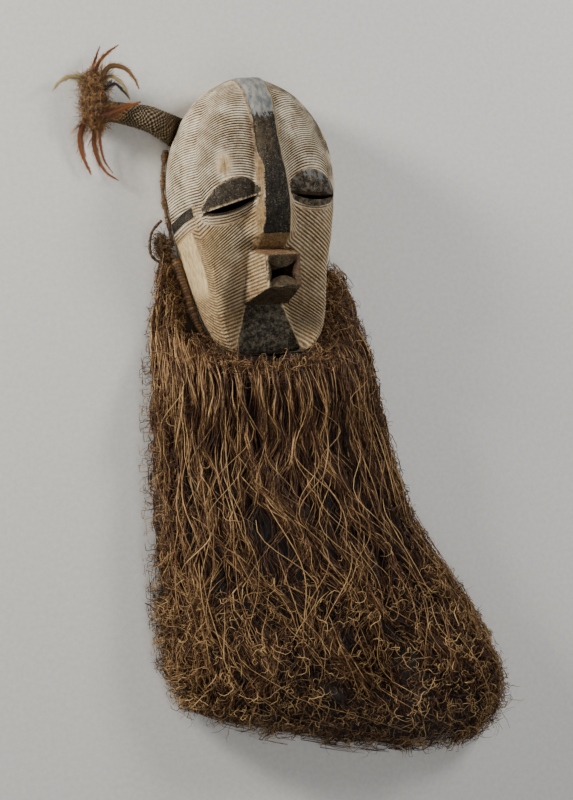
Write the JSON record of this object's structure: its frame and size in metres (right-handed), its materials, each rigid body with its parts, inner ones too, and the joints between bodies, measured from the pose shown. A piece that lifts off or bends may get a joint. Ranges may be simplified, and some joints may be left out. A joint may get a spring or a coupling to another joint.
{
  "type": "kifwebe mask",
  "caption": "Hollow carved wooden face mask with grooved whitened surface, black crest, pierced square mouth, feather tuft and a long raffia beard, lying on its back.",
  "frame": {"origin": "middle of the underside of the whole mask's box, on the surface that it lies on", "axes": "+Y from the chin to the crown, +Z out of the face, +X to the viewer's right"},
  "size_m": [0.5312, 0.9122, 0.1243],
  "materials": {
    "carved_wood": "light wood, whitened with kaolin over fine cut grooves, crest, nose, lids and chin blackened",
    "raffia": "dried raffia fibre, browned with age",
    "bark_cord": "twisted and wrapped bark fibre",
    "netting": "knotted fibre netting, dusty",
    "down": "matted down and fluff",
    "feather_rust": "feather, satin",
    "feather_gold": "feather, satin",
    "feather_cream": "feather, satin",
    "feather_dark": "feather, satin"
  },
  "bodies": {
    "root": {"wooden_face": "carved_wood", "netted_tube": "netting", "feather_tuft": "down", "feather_up_long": "feather_rust", "feather_up_short": "feather_dark", "feather_left": "feather_cream", "feather_right_gold": "feather_gold", "feather_right_cream": "feather_cream", "feather_right_dark": "feather_dark", "feather_on_tube": "feather_rust", "feather_down_left": "feather_gold", "feather_down_long": "feather_rust", "feather_down_inner": "feather_rust", "rim_cord": "bark_cord", "bark_loop": "bark_cord", "fibre_wad": "raffia", "collar_rope": "bark_cord", "raffia_beard": "raffia"}
  },
  "joints": []
}
